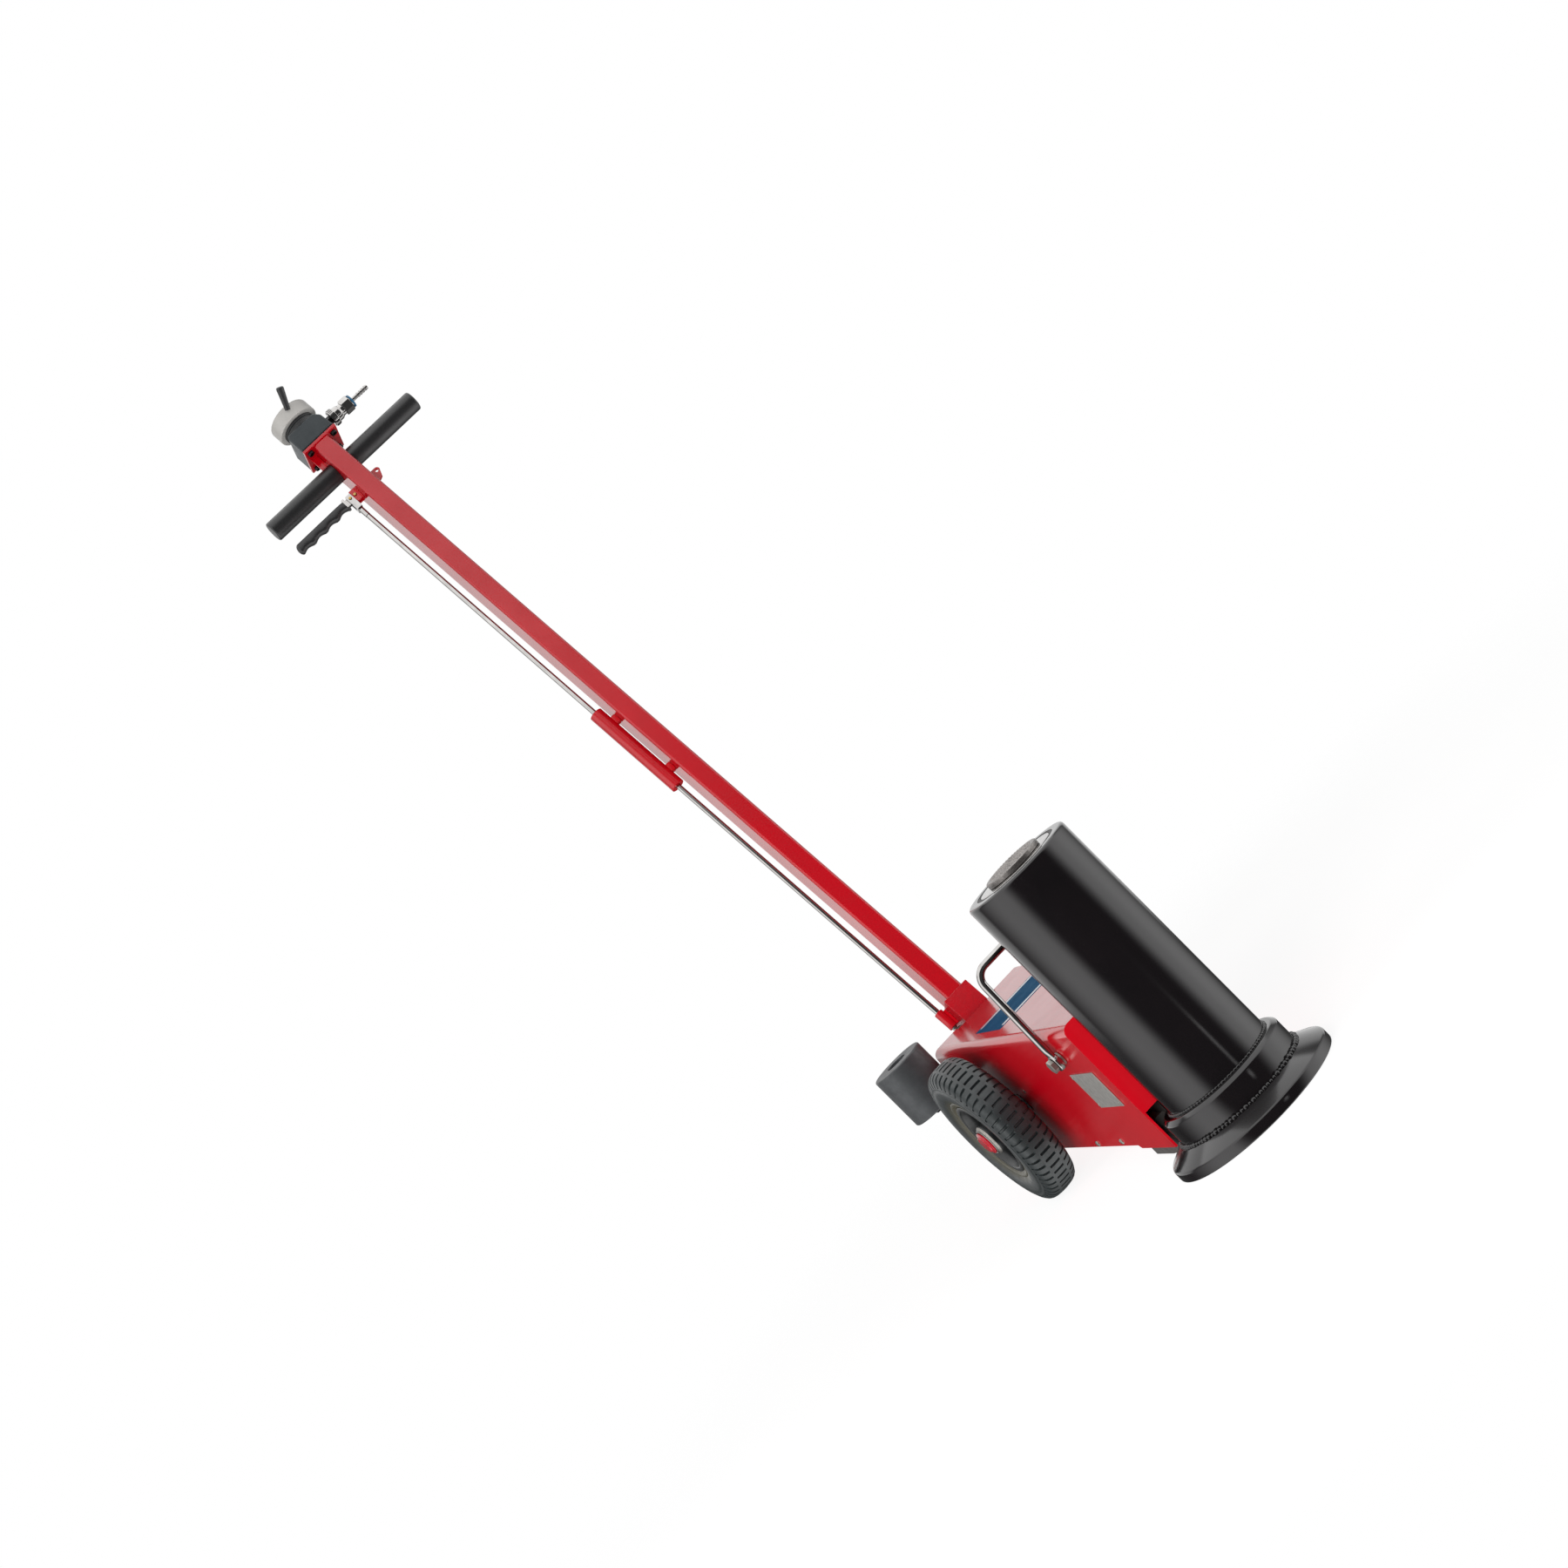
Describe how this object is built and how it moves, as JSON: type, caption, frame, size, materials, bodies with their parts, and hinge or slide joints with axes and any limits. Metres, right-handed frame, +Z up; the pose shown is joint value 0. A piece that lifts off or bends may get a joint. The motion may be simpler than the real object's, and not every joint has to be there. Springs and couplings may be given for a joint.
{
  "type": "air-driven hydraulic truck jack",
  "caption": "Wheeled truck jack: a short hydraulic ram on a round foot, an air motor under a red chassis, and a long folding handle with T-grip, release lever and air valve.",
  "frame": {"origin": "centre of the round foot's underside, on the ram's axis", "axes": "+Z up along the ram, -X along the chassis towards the handle, -Y the side of the release lever"},
  "size_m": [1.3677, 0.3401, 1.5695],
  "materials": {
    "black_paint": "gloss black enamel on steel",
    "red_paint": "gloss red powder coat on steel",
    "red_cap": "glossy red moulded plastic",
    "hard_chrome": "ground and hard-chromed steel",
    "bright_steel": "bright chromed steel",
    "machined_steel": "machined steel",
    "plate_aluminium": "satin aluminium sheet",
    "cast_aluminium": "cast and machined aluminium",
    "pump_casting": "dark grey painted casting",
    "valve_paint": "slate painted casting",
    "seal_rubber": "nitrile rubber",
    "grip_rubber": "ribless black grip rubber",
    "lever_plastic": "black moulded nylon",
    "rim_plastic": "black moulded nylon",
    "tyre_rubber": "dark green-grey tyre rubber",
    "knob_plastic": "light grey moulded plastic",
    "blue_plastic": "blue moulded plastic",
    "brass": "yellow passivated pin",
    "oxide_steel": "dark grey phosphated steel"
  },
  "bodies": {
    "root": {"foot": "black_paint", "base_collar": "black_paint", "ram_tube": "black_paint", "ram_gland": "black_paint", "wiper_seal": "seal_rubber", "pressure_cylinder": "machined_steel", "pump_block": "pump_casting", "air_motor_barrel": "cast_aluminium", "air_motor_cap": "cast_aluminium", "exhaust_muffler": "cast_aluminium", "chassis_cover": "red_paint", "data_plate": "plate_aluminium", "axle": "machined_steel", "hinge_bracket": "red_paint", "hinge_pin": "machined_steel", "lock_quadrant": "machined_steel", "extension_holder": "black_paint", "bail_bolt_left": "bright_steel", "bail_bolt_right": "bright_steel"},
    "ram": {"ram_rod": "hard_chrome", "ram_piston": "machined_steel", "piston_seal": "seal_rubber", "saddle": "machined_steel"},
    "air_piston": {"air_piston": "machined_steel"},
    "left_wheel": {"left_wheel_tyre": "tyre_rubber", "left_wheel_rim": "rim_plastic", "left_wheel_bearing": "machined_steel", "left_wheel_hub_cap": "red_cap"},
    "right_wheel": {"right_wheel_tyre": "tyre_rubber", "right_wheel_rim": "rim_plastic", "right_wheel_bearing": "machined_steel", "right_wheel_hub_cap": "red_cap"},
    "handle": {"handle_tube": "red_paint", "handle_socket": "red_paint", "lock_guide": "red_paint", "rod_sleeve": "red_paint", "grip_bar": "machined_steel", "grip_left": "grip_rubber", "grip_right": "grip_rubber", "lever_bracket": "red_paint", "lever_pivot_pin": "brass", "hook_lug": "red_paint", "head_plate": "red_paint", "valve_body": "valve_paint", "valve_neck": "lever_plastic", "inlet_nipple": "bright_steel", "coupler_body": "bright_steel", "coupler_band": "blue_plastic", "hose_tail": "bright_steel"},
    "release_lever": {"lever_arm": "bright_steel", "lever_grip": "lever_plastic"},
    "lock_rod": {"lock_rod": "bright_steel", "rod_clevis": "bright_steel", "clevis_pin": "brass"},
    "control_knob": {"control_knob": "knob_plastic", "knob_stick": "lever_plastic"},
    "coupler_sleeve": {"coupler_sleeve": "bright_steel"},
    "bail": {"carry_bail": "bright_steel"},
    "extension": {"saddle_extension": "oxide_steel"}
  },
  "joints": [
    {"name": "ram_lift", "type": "slide", "parent": "root", "child": "ram", "axis": [0, 0, 1], "range_m": [0, 0.232]},
    {"name": "air_piston_stroke", "type": "slide", "parent": "root", "child": "air_piston", "axis": [1, 0, 0], "range_m": [0, 0.06], "stiffness_N_per_m": 300},
    {"name": "left_wheel_spin", "type": "hinge", "parent": "root", "child": "left_wheel", "pos_m": [-0.5043, 0.1329, 0.1152], "axis": [0, 1, 0], "continuous": true},
    {"name": "right_wheel_spin", "type": "hinge", "parent": "root", "child": "right_wheel", "pos_m": [-0.5043, -0.1329, 0.1152], "axis": [0, 1, 0], "continuous": true},
    {"name": "handle_swing", "type": "hinge", "parent": "root", "child": "handle", "pos_m": [-0.729, 0, 0.1585], "axis": [0, -1, 0], "range_deg": [-19.5, 70.5]},
    {"name": "lever_squeeze", "type": "hinge", "parent": "handle", "child": "release_lever", "pos_m": [-1.15727, -0.0228, 1.36791], "axis": [-0.9426, 0, -0.3338], "range_deg": [-16, 12], "stiffness_Nm_per_rad": 3},
    {"name": "lock_rod_slide", "type": "slide", "parent": "handle", "child": "lock_rod", "axis": [-0.3338, 0, 0.9426], "range_m": [-0.0028, 0.0021]},
    {"name": "knob_turn", "type": "hinge", "parent": "handle", "child": "control_knob", "pos_m": [-1.21135, 0, 1.52062], "axis": [-0.3338, 0, 0.9426], "range_deg": [-30, 30], "stiffness_Nm_per_rad": 0.6},
    {"name": "coupler_sleeve_slide", "type": "slide", "parent": "handle", "child": "coupler_sleeve", "axis": [0, 1, 0], "range_m": [0, 0.004], "stiffness_N_per_m": 400},
    {"name": "bail_swing", "type": "hinge", "parent": "root", "child": "bail", "pos_m": [-0.15, 0, 0.18], "axis": [0, 1, 0], "range_deg": [-77, 21.5]},
    {"name": "extension_lift", "type": "slide", "parent": "root", "child": "extension", "axis": [0, 0, 1], "range_m": [0, 0.04]}
  ],
  "couplings": [
    {"joint": "lock_rod_slide", "follows": "lever_squeeze", "m_per_rad": 0.0097}
  ]
}
